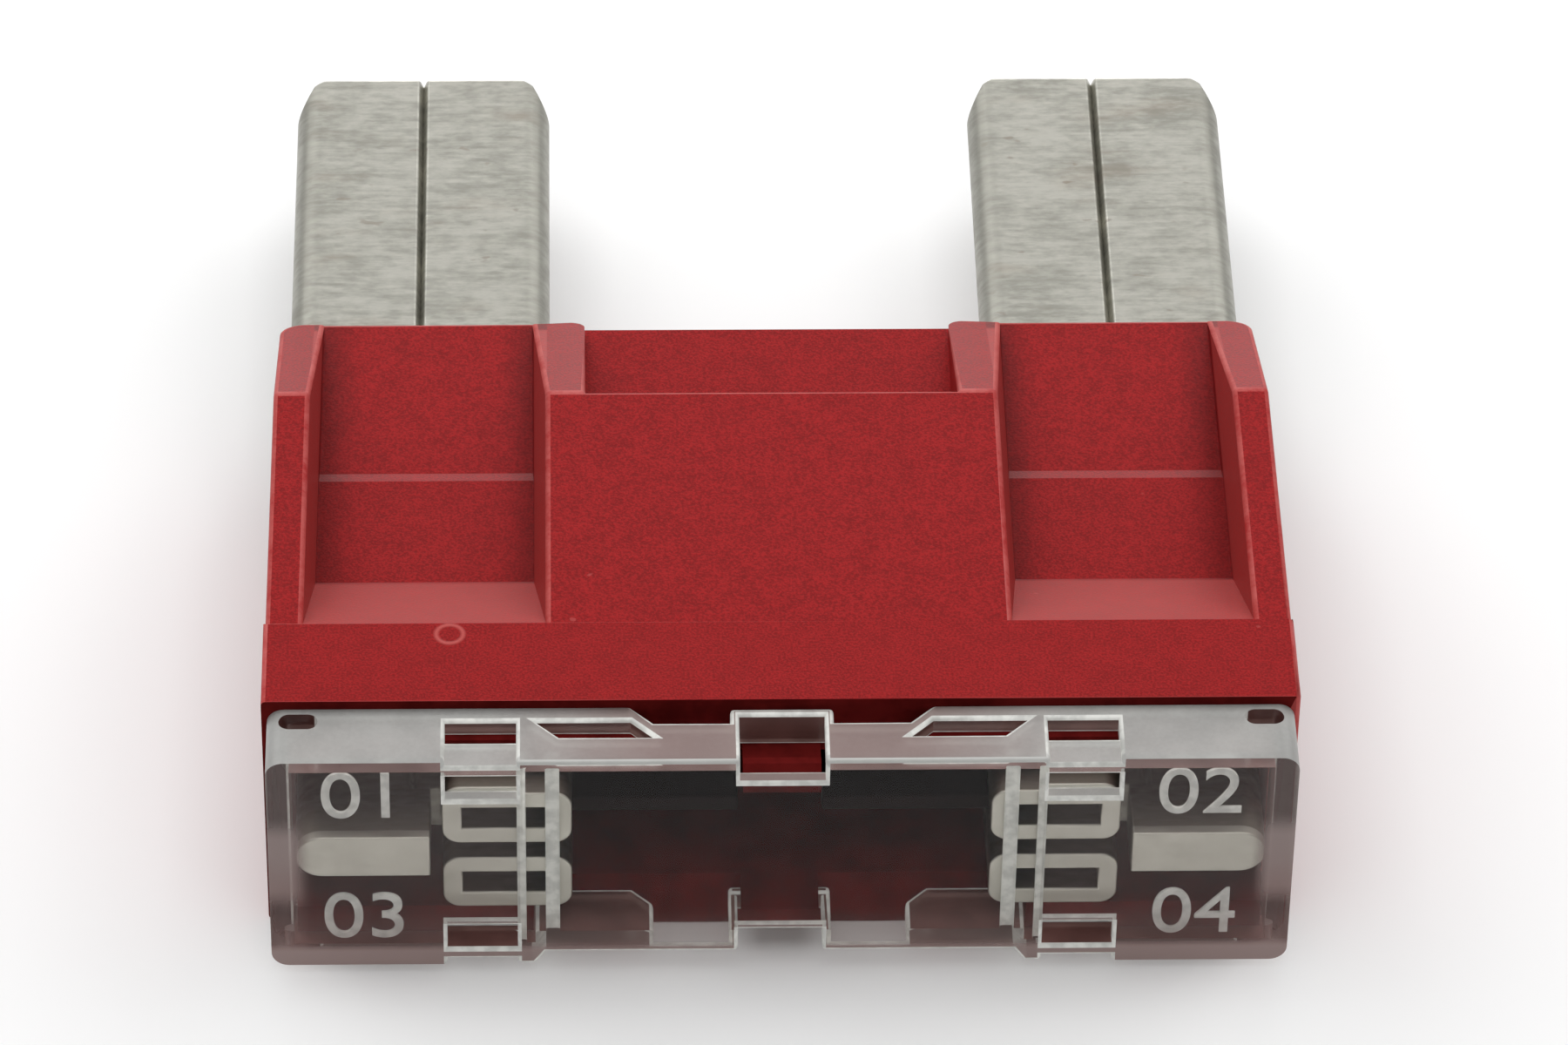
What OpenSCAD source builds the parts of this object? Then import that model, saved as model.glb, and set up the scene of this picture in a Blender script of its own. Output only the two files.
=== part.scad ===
// Plug-in blade fuse of the large automotive size, lying on its back face.
// The clear end points to -Y, the two blades point to +Y and the pocketed front face looks up (+Z).
// All sizes are in millimetres. Inside the modules, Y runs from the clear end to the blade tips
// and Z is measured from the mid-plane of the body; placed() moves that into the part's own frame.

/* [Overall] */
// Length from the clear end to the blade tips
overall_length = 34.3; // [33.5:0.1:36]
// Width across the rim of the housing
body_width = 29.2; // [29:0.1:31]
// Thickness of the rim of the housing
body_thickness = 8.5; // [8.2:0.1:9.5]

/* [Blades] */
// Distance from the side of the housing to the outer edge of a blade
blade_margin = 0.3; // [0.2:0.05:0.6]
// Width of each blade outside the housing
blade_width = 7.8; // [7.2:0.1:8]
// Length of blade outside the housing
blade_length = 12.6; // [11:0.1:14]
// Thickness of the strip; a blade is two layers thick
sheet = 0.75; // [0.6:0.05:0.8]
// Width of the steep cut at each corner of the blade tip
tip_chamfer_width = 0.5; // [0.3:0.05:0.8]
// Length of that steep cut
tip_chamfer_length = 1.1; // [0.5:0.05:1.5]
// Width of the shallow cut that leads from it to the tip
tip_round_width = 0.4; // [0.2:0.05:0.6]
// Length of that shallow cut
tip_round_length = 0.3; // [0.1:0.05:0.5]
// Bevel of the tip's two faces
tip_bevel = 0.1; // [0.05:0.05:0.5]
// Width of the groove where the two folded flaps meet
seam_width = 0.26; // [0.1:0.02:0.4]
// Depth of that groove
seam_depth = 0.32; // [0.1:0.02:0.5]
// Width of the strip inside the housing
shank_width = 6.6; // [6.2:0.1:6.7]

/* [Crimp] */
// Width of the rolled lobes that grip the link
lobe_width = 3.65; // [3.2:0.05:3.9]
// Height of one lobe
lobe_height = 1.9; // [1.7:0.05:1.95]
// Thickness of the rolled wall
lobe_wall = 0.55; // [0.4:0.05:0.6]
// Outer corner radius of a lobe
lobe_corner = 0.5; // [0.2:0.05:0.6]
// How far the lobes reach past the strip, towards the middle
lobe_reach = 1.2; // [0.8:0.1:1.3]
// Width of the slit between the lobes and the flat end of the strip
slit_width = 0.35; // [0.2:0.05:0.5]
// Length of that slit
slit_length = 1.8; // [1.4:0.1:2]

/* [Link] */
// Thickness of the fusible link
link_thickness = 0.5; // [0.3:0.05:0.6]
// Width of its arms
link_width = 1.4; // [1:0.1:1.5]
// Outer radius of the loop in the middle
loop_radius = 2.6; // [2.2:0.1:3]
// Width left at the narrow point where it melts
neck_width = 0.5; // [0.3:0.05:0.8]

/* [Housing] */
// Length of the raised rim next to the cover
rim_length = 3.25; // [3:0.05:4]
// How far the rim stands above the front face
rim_step = 0.1; // [0.05:0.05:0.3]
// How far the rim stands out at the sides
rim_overhang = 0.05; // [0.05:0.05:0.2]
// Length of the flat front face, up to the sloping end
flat_length = 10.05; // [10:0.05:11]
// Width of the ribs along the two sides
rib_width = 1.05; // [0.8:0.05:1.5]
// Width of each pocket at its top
pocket_width = 6.9; // [6.4:0.1:7.2]
// Slant of a pocket's inner wall, from its top to its floor
inner_draft = 0.4; // [0.1:0.05:0.5]
// Slant of a pocket's outer wall, from its top to its floor
outer_draft = 0.25; // [0.1:0.05:0.5]
// Length of the ramp from the rim down into a pocket
ramp_length = 4.5; // [4:0.1:5]
// Length of the higher part of a pocket's floor, next to the ramp
high_floor_length = 4.4; // [4:0.05:5]
// Drop from that part to the rest of the floor
floor_step = 0.2; // [0.1:0.05:0.4]
// Length of the short slope of that drop
step_length = 0.55; // [0.3:0.05:0.8]
// Thickness of plastic between a pocket's floor and the strip
blade_skin = 0.75; // [0.5:0.05:0.9]
// Width of the two inner legs beside the middle recess
leg_width = 1.15; // [0.8:0.05:1.5]
// Radius of their corners at the blade end
leg_radius = 0.45; // [0.3:0.05:0.6]
// Thickness of the nose between the legs
nose_thickness = 2.4; // [2:0.1:2.8]
// Radius of the housing's corners at the blade end
end_radius = 0.8; // [0.3:0.1:1]
// Plastic between the arc chamber and the strip
chamber_wall = 1.1; // [0.8:0.1:1.3]
// Plastic between the arc chamber's floor and the sloping end
chamber_floor = 1.5; // [1:0.1:3]
// Depth of the bay for the crimps, below the rim
bay_depth = 2.55; // [2.4:0.05:2.8]

/* [Cover] */
// Length of the clear cover, outside the rim
cover_length = 2.2; // [2.1:0.05:2.6]
// How far its front and back lie inside the rim's outline
cover_inset = 0.3; // [0.2:0.05:0.4]
// How far its sides lie inside the rim's outline
cover_side_inset = 0.15; // [0.1:0.05:0.3]
// Radius of its long corners
cover_radius = 0.5; // [0.3:0.1:1]
// Thickness of the window at the end
end_wall = 0.5; // [0.4:0.05:0.7]
// Thickness of the front and back walls
face_wall = 0.6; // [0.5:0.05:0.7]
// Depth of the recess in the middle of the back wall
recess_depth = 0.45; // [0.3:0.05:0.5]
// Width of the slanted ends of that recess
recess_slant = 0.3; // [0.1:0.05:0.5]
// Width of the wall between the notch in the middle and the chamber's ribs
shoulder_width = 2.85; // [2.6:0.05:3]
// Depth of the notch in the middle of the front wall
notch_depth = 0.6; // [0.3:0.05:0.7]
// Width of the slanted ends of the notches
notch_slant = 0.6; // [0.3:0.05:0.7]
// Thickness of the ribs beside the arc chamber
chamber_rib = 0.4; // [0.3:0.05:0.5]
// Thickness of the thinner ribs beside the probe openings
guide_rib = 0.25; // [0.2:0.05:0.3]
// Height of these ribs
rib_height = 0.25; // [0.15:0.05:0.4]
// Width of a test-probe opening
probe_width = 2; // [1.6:0.1:2.1]
// Height of a test-probe opening
probe_height = 0.9; // [0.6:0.1:1]
// Depth of the channel that leads to it
channel_depth = 0.2; // [0.1:0.05:0.3]
// Length of the small windows in the front and back walls
slot_length = 0.65; // [0.5:0.05:0.8]
// Length of wall between these windows and the rim
slot_margin = 0.5; // [0.4:0.05:0.7]
// Width of the oblong corner windows
corner_width = 1.1; // [0.8:0.05:1.2]
// Length of these corner windows
corner_length = 0.6; // [0.4:0.05:0.7]
// Distance from the cover's side to the middle of a corner window
corner_margin = 0.9; // [0.8:0.05:1]

/* [Snap hooks] */
// Width of a hook
hook_width = 2.2; // [1.8:0.1:2.4]
// Thickness of a hook's tongue
hook_thickness = 0.45; // [0.4:0.05:0.5]
// How far the barb on it reaches into the eye's strap
barb_catch = 0.2; // [0.1:0.05:0.4]
// Length of the barb
barb_length = 0.45; // [0.3:0.05:0.6]
// Slanted lead on the barb's edge
barb_slant = 0.2; // [0.1:0.05:0.3]
// Width of the strap round the eye that takes the hook
strap_width = 0.25; // [0.2:0.05:0.5]
// Length of the locating bars behind the front wall
bar_length = 0.6; // [0.4:0.05:1]

/* [Fits] */
// Clearance between pieces that seat in one another
seat_gap = 0.05; // [0.03:0.01:0.1]

/* [Hidden] */
$fn = 48;
past = 1;

// Stations along Y, from the clear end
y_joint = cover_length;
y_rim = y_joint + rim_length;
y_slope = y_rim + flat_length;
y_end = overall_length - blade_length;
y_bay = y_joint + bay_depth;
y_ramp = y_rim + ramp_length;
y_step = y_ramp + high_floor_length;
y_chamber = y_slope - chamber_floor;
y_flap = end_wall + seat_gap;
y_metal = y_flap + rib_height;
y_slit = y_metal + slit_length;
y_spigot = end_wall + 4 * seat_gap;
y_barb = y_spigot + barb_length;
y_strap = y_joint - seat_gap - strap_width;
y_slot_end = y_joint - slot_margin;
y_slot = y_slot_end - slot_length;

// Heights from the mid-plane
rim_half = body_thickness / 2;
flat_half = rim_half - rim_step;
floor_half = sheet + blade_skin;
high_half = floor_half + floor_step;
nose_half = nose_thickness / 2;
lobe_gap = link_thickness + 2 * seat_gap;
lobe_top = lobe_gap / 2 + lobe_height;
cavity_half = lobe_top + 2 * seat_gap;
cover_half = rim_half - cover_inset;
cover_cavity = cover_half - face_wall;
recess_half = cover_half - recess_depth;
recess_cavity = recess_half - face_wall;
spigot_top = cover_cavity - seat_gap;
strap_low = cavity_half + hook_thickness + seat_gap;
probe_low = cover_cavity - probe_height;

// Places across X, from the middle
body_half = body_width / 2 - rim_overhang;
pocket_outer = body_half - rib_width;
panel_half = pocket_outer - pocket_width;
nose_side = panel_half - leg_width;
blade_x = body_width / 2 - blade_margin - blade_width / 2;
shank_inner = blade_x - shank_width / 2;
shank_outer = blade_x + shank_width / 2;
lobe_inner = shank_inner - lobe_reach;
lobe_outer = lobe_inner + lobe_width;
lobe_x = (lobe_inner + lobe_outer) / 2;
chamber_half = shank_inner - chamber_wall;
bay_half = shank_outer + 2 * seat_gap;
cover_side = body_width / 2 - cover_side_inset;
rib_x = lobe_inner + lobe_wall;
notch_half = rib_x - shoulder_width;
back_recess = rib_x + chamber_rib / 2;
probe_x = lobe_outer - probe_width / 2 - 2 * seat_gap;
guide_x = probe_x - probe_width / 2 - guide_rib / 2;
corner_x = cover_side - corner_margin;
bar_end = bay_half - 2 * seat_gap;
eye_half = hook_width / 2 + 2 * seat_gap;
strap_side = eye_half + strap_width;

// Moves the drawing into the part's frame: middle of the footprint, back face on the ground.
module placed() translate([0, -overall_length / 2, rim_half]) children();

module both_sides() {
    children();
    mirror([1, 0, 0]) children();
}

module both_faces() {
    children();
    mirror([0, 0, 1]) children();
}

// A Y-Z outline, carried across X and centred on it.
module across(width) rotate([90, 0, 90]) linear_extrude(width, center = true) children();

// An X-Z outline, carried along Y.
module along(y0, y1) translate([0, y1, 0]) rotate([90, 0, 0]) linear_extrude(y1 - y0) children();

// A box given by its two corners.
module block(low, high) translate(low) cube(high - low);

module rounded_rect(width, height, radius) {
    square([width - 2 * radius, height], center = true);
    square([width, height - 2 * radius], center = true);
    for (x = [-1, 1], y = [-1, 1])
        translate([x * (width / 2 - radius), y * (height / 2 - radius)]) circle(radius);
}

// A flat bar with full-round ends.
module oblong(width, height) {
    square([width - height, height], center = true);
    for (side = [-1, 1]) translate([side * (width - height) / 2, 0]) circle(d = height);
}

// Section of a strip whose two sides are folded round.
module folded_section(width, grow = 0) translate([blade_x, 0])
    oblong(width + 2 * grow, 2 * (sheet + grow));

// Section of one rolled lobe.
module lobe_section() translate([lobe_x, (lobe_gap + lobe_height) / 2]) difference() {
    rounded_rect(lobe_width, lobe_height, lobe_corner);
    square([lobe_width - 2 * lobe_wall, lobe_height - 2 * lobe_wall], center = true);
}

// Housing: one moulding with two pockets on each face, an arc chamber, a bay and slots for the metal.
module housing_outline() {
    translate([-body_width / 2, y_joint]) square([body_width, rim_length]);
    translate([-body_half, y_joint]) square([2 * body_half, y_end - end_radius - y_joint]);
    translate([-body_half + end_radius, y_joint]) square([2 * (body_half - end_radius), y_end - y_joint]);
    for (side = [-1, 1])
        translate([side * (body_half - end_radius), y_end - end_radius]) circle(end_radius);
}

module housing_profile() {
    upper = [
        [y_joint, rim_half], [y_rim, rim_half], [y_rim, flat_half],
        [y_slope, flat_half], [y_end, floor_half]
    ];
    lower = [for (i = [len(upper) - 1:-1:0]) [upper[i][0], -upper[i][1]]];
    polygon(concat(upper, lower));
}

// One pocket: a ramp and a floor with a shallow drop in it, between two slanted walls.
module pocket() intersection() {
    across(2 * body_width) polygon([
        [y_rim, flat_half], [y_ramp, high_half], [y_step, high_half], [y_step + step_length, floor_half],
        [y_end + past, floor_half], [y_end + past, rim_half + past], [y_rim, rim_half + past]
    ]);
    along(y_joint, y_end + 2 * past) polygon([
        [panel_half + inner_draft, floor_half], [pocket_outer - outer_draft, floor_half],
        [pocket_outer, flat_half], [pocket_outer, rim_half + 2 * past],
        [panel_half, rim_half + 2 * past], [panel_half, flat_half]
    ]);
}

// The middle recess at the blade end, between the two inner legs. It rounds off their corners.
module nose_recess() translate([0, 0, nose_half]) linear_extrude(rim_half + past - nose_half) {
    translate([-nose_side, y_slope]) square([2 * nose_side, y_end + past - y_slope]);
    for (side = [-1, 1]) difference() {
        translate([side * nose_side - leg_radius, y_end - leg_radius])
            square([2 * leg_radius, leg_radius + past]);
        translate([side * (nose_side + leg_radius), y_end - leg_radius]) circle(leg_radius);
    }
}

// Arc chamber in the middle, bay for the crimps and one slot for each strip.
module housing_cavity() {
    block([-chamber_half, y_joint - past, -cavity_half], [chamber_half, y_chamber, cavity_half]);
    block([-bay_half, y_joint - past, -cavity_half], [bay_half, y_bay, cavity_half]);
    both_sides() along(y_joint, y_end + past) folded_section(shank_width, seat_gap);
}

// Bars that locate the cover on one face, from start outwards, reaching out to y.
module locating_bars(start, y) both_sides()
    block([start, y, cavity_half], [bar_end, y_joint, spigot_top]);

// Hook in the middle of one face: a low tongue under the eye's strap, with a barb at its end.
module hook() {
    top = strap_low + barb_catch;
    block([-hook_width / 2, y_spigot, cavity_half], [hook_width / 2, y_joint, cavity_half + hook_thickness]);
    across(hook_width) polygon([
        [y_spigot, cavity_half], [y_barb, cavity_half], [y_barb, top],
        [y_spigot + barb_slant, top], [y_spigot, top - barb_slant]
    ]);
}

module housing() color([0.62, 0.09, 0.12]) placed() {
    difference() {
        intersection() {
            across(2 * body_width) housing_profile();
            translate([0, 0, -body_thickness]) linear_extrude(2 * body_thickness) housing_outline();
        }
        both_faces() {
            both_sides() pocket();
            nose_recess();
        }
        housing_cavity();
    }
    both_faces() hook();
    locating_bars(notch_half, y_joint - bar_length);
    mirror([0, 0, 1]) locating_bars(back_recess + recess_slant + seat_gap, y_spigot + rib_height);
}

// Cover: a clear cap with a window at its end, snap eyes, probe openings and small windows.
module cover_section() difference() {
    rounded_rect(2 * cover_side, 2 * cover_half, cover_radius);
    polygon([
        [-back_recess, -recess_half], [back_recess, -recess_half],
        [back_recess + recess_slant, -cover_half], [back_recess + recess_slant, -cover_half - past],
        [-back_recess - recess_slant, -cover_half - past], [-back_recess - recess_slant, -cover_half]
    ]);
}

// Inside of the cap. Its back wall follows the recess inwards, so the room is lower there.
module cover_room() {
    back_step = back_recess + recess_slant;
    block([-bay_half, end_wall, -recess_cavity], [bay_half, y_joint + past, cover_cavity]);
    both_sides() block([back_step, end_wall, -cover_cavity], [bay_half, y_joint + past, cover_cavity]);
}

// Notch in the middle of one wall's edge, with slanted ends. It reaches down to y.
module edge_notch(y) linear_extrude(rim_half) polygon([
    [-notch_half, y], [notch_half, y], [notch_half, y_joint - notch_depth],
    [notch_half + notch_slant, y_joint], [notch_half + notch_slant, y_joint + past],
    [-notch_half - notch_slant, y_joint + past], [-notch_half - notch_slant, y_joint],
    [-notch_half, y_joint - notch_depth]
]);

// One upright rib on the inside of the window, as tall as the cap.
module window_rib(x, width) block(
    [x - width / 2, end_wall, -cover_half], [x + width / 2, end_wall + rib_height, cover_half]
);

module window_ribs() both_sides() {
    window_rib(rib_x, chamber_rib);
    window_rib(guide_x, guide_rib);
}

// Opening for a test probe in the window, with a shallow channel and a small window above it.
module probe_way() {
    left = probe_x - probe_width / 2;
    right = probe_x + probe_width / 2;
    top = cover_half + past;
    block([left, -past, probe_low], [right, end_wall, cover_cavity]);
    block([left, -past, cover_half - channel_depth], [right, y_slot_end, top]);
    block([left, y_slot, cover_cavity - seat_gap], [right, y_slot_end, top]);
}

module corner_window() translate([corner_x, y_joint - slot_margin, cover_cavity - seat_gap])
    linear_extrude(cover_half) oblong(corner_width, corner_length);

// Window in the front wall beside the notch, slanted like the notch's end.
module side_window() translate([0, 0, cover_cavity - seat_gap]) linear_extrude(cover_half) polygon([
    [notch_half, y_slot], [rib_x - chamber_rib / 2, y_slot],
    [rib_x - chamber_rib / 2 + slot_length, y_slot_end], [notch_half + slot_length, y_slot_end]
]);

// Strap round the eye of one wall, between the heights low and high. Its bar hangs down to the tongue.
module eye_strap(low, high) {
    difference() {
        block([-strap_side, 0, low], [strap_side, y_strap + strap_width, high]);
        eye_opening(low);
    }
    block([-strap_side, y_strap, strap_low], [strap_side, y_strap + strap_width, high]);
}

// Opening that takes the hook, through the wall above low and over the edge of the window.
module eye_opening(low) block(
    [-eye_half, -past, low - strap_width], [eye_half, y_strap, cover_half + past]
);

module cover() color([0.85, 0.87, 0.86, 0.4]) placed() {
    difference() {
        along(0, y_joint) cover_section();
        difference() {
            cover_room();
            window_ribs();
        }
        edge_notch(y_joint - notch_depth);
        mirror([0, 0, 1]) edge_notch(end_wall);
        eye_opening(cover_cavity);
        mirror([0, 0, 1]) eye_opening(recess_cavity);
        both_sides() {
            side_window();
            both_faces() {
                probe_way();
                corner_window();
            }
        }
    }
    eye_strap(cover_cavity, cover_half);
    mirror([0, 0, 1]) eye_strap(recess_cavity, recess_half);
}

// Terminals: a strip folded to two layers, with its seam on the front and a rolled crimp at its head.
module blade_plan() {
    half = blade_width / 2;
    shoulder = half - tip_chamfer_width;
    corner = [
        [half, y_end + seat_gap], [half, overall_length - tip_round_length - tip_chamfer_length],
        [shoulder, overall_length - tip_round_length], [shoulder - tip_round_width, overall_length]
    ];
    opposite = [for (i = [len(corner) - 1:-1:0]) [-corner[i][0], corner[i][1]]];
    translate([blade_x, 0]) polygon(concat(corner, opposite));
}

module blade_side() polygon([
    [y_end + seat_gap, -sheet], [overall_length - tip_bevel, -sheet], [overall_length, -sheet + tip_bevel],
    [overall_length, sheet - tip_bevel], [overall_length - tip_bevel, sheet], [y_end + seat_gap, sheet]
]);

module blade() intersection() {
    along(y_end + seat_gap, overall_length) folded_section(blade_width);
    translate([0, 0, -body_thickness]) linear_extrude(2 * body_thickness) blade_plan();
    across(2 * body_width) blade_side();
}

module seam() along(y_slit, overall_length + past) translate([blade_x, sheet]) polygon([
    [0, -seam_depth], [seam_width / 2, 0], [seam_width / 2, past],
    [-seam_width / 2, past], [-seam_width / 2, 0]
]);

// Room between the two layers for the link's tab.
module tab_room() block(
    [lobe_inner - past, y_slit - past, -link_thickness / 2 - seat_gap],
    [lobe_outer + seat_gap, y_slit + link_width + 2 * seat_gap, link_thickness / 2 + seat_gap]
);

module terminal() {
    difference() {
        union() {
            blade();
            along(y_flap, y_end + 2 * seat_gap) folded_section(shank_width);
        }
        block([shank_inner - past, 0, -rim_half], [lobe_outer + slit_width, y_slit, rim_half]);
        tab_room();
        seam();
    }
    both_faces() along(y_metal, y_bay - seat_gap) lobe_section();
}

module left_terminal() color([0.72, 0.72, 0.68]) placed() mirror([1, 0, 0]) terminal();

module right_terminal() color([0.72, 0.72, 0.68]) placed() terminal();

// Link: a flat strip with a loop in the arc chamber and a narrow point at its crown.
module link_plan() {
    arm_low = y_slit + seat_gap;
    loop_y = arm_low + loop_radius;
    crown = loop_y + loop_radius;
    loop_inner = loop_radius - link_width;
    difference() {
        union() {
            translate([0, loop_y]) circle(loop_radius);
            translate([-lobe_outer, arm_low]) square([2 * lobe_outer, link_width]);
        }
        translate([0, loop_y]) circle(loop_inner);
        translate([-loop_inner, arm_low - past]) square([2 * loop_inner, link_width + 2 * past]);
        translate([0, crown + link_width - neck_width]) circle(link_width);
    }
}

module fuse_link() color([0.6, 0.6, 0.57]) placed()
    translate([0, 0, -link_thickness / 2]) linear_extrude(link_thickness) link_plan();

housing();
cover();
left_terminal();
right_terminal();
fuse_link();
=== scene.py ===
"""Looks of a plug-in blade fuse: red moulding, tin-plated blades and clear cover, on a pale floor.

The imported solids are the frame. Each piece here is a finished copy of one solid, with its edges
rounded, or a small detail that sits on one of them. Lengths are in metres.
"""

import math

import bmesh
import bpy
import numpy as np
from bpy.props import FloatProperty, FloatVectorProperty, PointerProperty
from mathutils import Matrix, Vector


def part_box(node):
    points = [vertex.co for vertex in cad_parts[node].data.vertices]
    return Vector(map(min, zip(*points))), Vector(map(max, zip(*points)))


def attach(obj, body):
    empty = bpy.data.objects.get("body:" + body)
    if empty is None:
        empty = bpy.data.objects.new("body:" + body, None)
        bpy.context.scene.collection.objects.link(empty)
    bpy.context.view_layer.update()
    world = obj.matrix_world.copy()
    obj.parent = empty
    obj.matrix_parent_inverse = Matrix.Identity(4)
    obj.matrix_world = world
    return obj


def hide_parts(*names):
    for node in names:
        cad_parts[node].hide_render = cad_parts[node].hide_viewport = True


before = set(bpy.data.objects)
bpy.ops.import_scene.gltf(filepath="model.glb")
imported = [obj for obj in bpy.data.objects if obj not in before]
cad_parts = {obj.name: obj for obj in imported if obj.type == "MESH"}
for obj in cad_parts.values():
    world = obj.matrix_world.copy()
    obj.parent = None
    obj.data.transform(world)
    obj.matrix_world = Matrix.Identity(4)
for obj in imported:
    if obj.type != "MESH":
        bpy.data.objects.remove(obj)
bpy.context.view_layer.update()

bl_info = {
    "name": "Blade fuse",
    "version": (1, 0, 0),
    "blender": (4, 5, 0),
    "location": "3D View > Sidebar > Blade fuse",
    "description": "Builds the looks of a plug-in blade fuse round its packed solids",
    "category": "Object",
}

MM = 0.001

# How a copy of a solid is merged and shaded: corners nearer than this are one, faces that turn by less
# than the flat angle are joined, and edges that turn by more than the sharp angle show as lines.
MERGE_DISTANCE = 0.001 * MM
FLAT_ANGLE = math.radians(0.5)
SHARP_ANGLE = math.radians(15)

# Which of its edges are rounded: outer ones that turn by more than this. A radius takes up at most the
# room share of the faces beside it. Short edges make up small rounds, which stay as they are, and so
# does an edge that leads into such a round and is shorter than the lead.
ROUND_ANGLE = math.radians(21.5)
ROUND_STEPS = 3
ROOM_SHARE = 0.3
SHORT_EDGE = 0.075 * MM
SHORT_LEAD = 0.55 * MM

# Boxes of the two mouldings, and the places on them and on the blades that the finishes follow. The
# pockets' floor is a height from the mid-plane, and their middle and the blades' are places from the
# middle of the part.
COVER_LOW, COVER_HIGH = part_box("cover")
HOUSING_LOW, HOUSING_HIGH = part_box("housing")
MID_HEIGHT = (HOUSING_LOW.z + HOUSING_HIGH.z) / 2
RING_CENTRE = (-9.33 * MM, -12.19 * MM, HOUSING_HIGH.z)
RIM_END = COVER_HIGH.y + 3.25 * MM
RAMP_END = RIM_END + 4.5 * MM
POCKET_MID = 10.05 * MM
POCKET_HALF = 3.45 * MM
POCKET_FLOOR = 1.7 * MM
BLADE_MID = 10.4 * MM
BLADE_HALF = 3.9 * MM

# Numbers of the finishes on the housing and on the cover, in the order of their makers.
PLAIN, RUBBED_AND_LIT, SHADED = range(3)
POLISHED, FROSTED, MILKY_GLOWING, RED_REFLECTING = range(4)

# A face looks mainly one way when that part of its normal is above this.
MAINLY = 0.7

# How the red and the clear plastic bend light, the red's share of gloss, and the colour of no glow.
RED_IOR = 1.5
RED_GLOSS = 0.09
CLEAR_IOR = 1.58
BLACK = (0.0, 0.0, 0.0, 1.0)

# Height of a digit over the size of its text, and the radius on its edges.
DIGIT_SHARE = 0.7
DIGIT_EDGE = 0.02 * MM

# The floor reaches this far from the middle of the part, and lies this far under it.
FLOOR_HALF = 1.5
FLOOR_GAP = 0.02 * MM

# Width of the camera's sensor in millimetres, as its lens is given.
SENSOR_WIDTH = 36


class FuseSizes(bpy.types.PropertyGroup):
    """Sizes of the finishing details."""

    housing_edge: FloatProperty(
        name="Housing edge", default=0.13 * MM, unit="LENGTH",
        description="Radius on the moulding's edges",
    )
    metal_edge: FloatProperty(
        name="Metal edge", default=0.05 * MM, unit="LENGTH",
        description="Radius on the strip's edges",
    )
    cover_edge: FloatProperty(
        name="Cover edge", default=0.11 * MM, unit="LENGTH",
        description="Radius on the clear cover's edges",
    )
    bay_depth: FloatProperty(
        name="Bay depth", default=2.6 * MM, unit="LENGTH",
        description="Depth behind the cover over which the bay is shaded",
    )
    chamber_depth: FloatProperty(
        name="Chamber depth", default=12.35 * MM, unit="LENGTH",
        description="Depth behind the cover over which the arc chamber is shaded",
    )
    chamber_height: FloatProperty(
        name="Chamber height", default=4.8 * MM, unit="LENGTH",
        description="Height of bay and arc chamber",
    )
    chamber_width: FloatProperty(
        name="Chamber width", default=13.0 * MM, unit="LENGTH",
        description="Width of the arc chamber",
    )
    window_depth: FloatProperty(
        name="Window depth", default=0.6 * MM, unit="LENGTH",
        description="Depth behind the cover's end over which its faces are polished",
    )
    window_thickness: FloatProperty(
        name="Window thickness", default=0.5 * MM, unit="LENGTH",
        description="Thickness of the window that carries the digits",
    )
    digit_across: FloatProperty(
        name="Digits across", default=11.75 * MM, unit="LENGTH",
        description="From the middle of the part to the middle of a pair of digits",
    )
    digit_rise: FloatProperty(
        name="Digits rise", default=2.35 * MM, unit="LENGTH",
        description="From the mid-plane up or down to the middle of a pair of digits",
    )
    digit_height: FloatProperty(
        name="Digit height", default=1.75 * MM, unit="LENGTH",
        description="Height of the moulded digits",
    )
    digit_relief: FloatProperty(
        name="Digit relief", default=0.06 * MM, unit="LENGTH",
        description="How far the digits stand off the window",
    )
    ring_radius: FloatProperty(
        name="Ring radius", default=0.38 * MM, unit="LENGTH",
        description="Radius of the ring marked on the rim",
    )
    ring_line: FloatProperty(
        name="Ring line", default=0.11 * MM, unit="LENGTH",
        description="Half width of that ring's line",
    )


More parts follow.
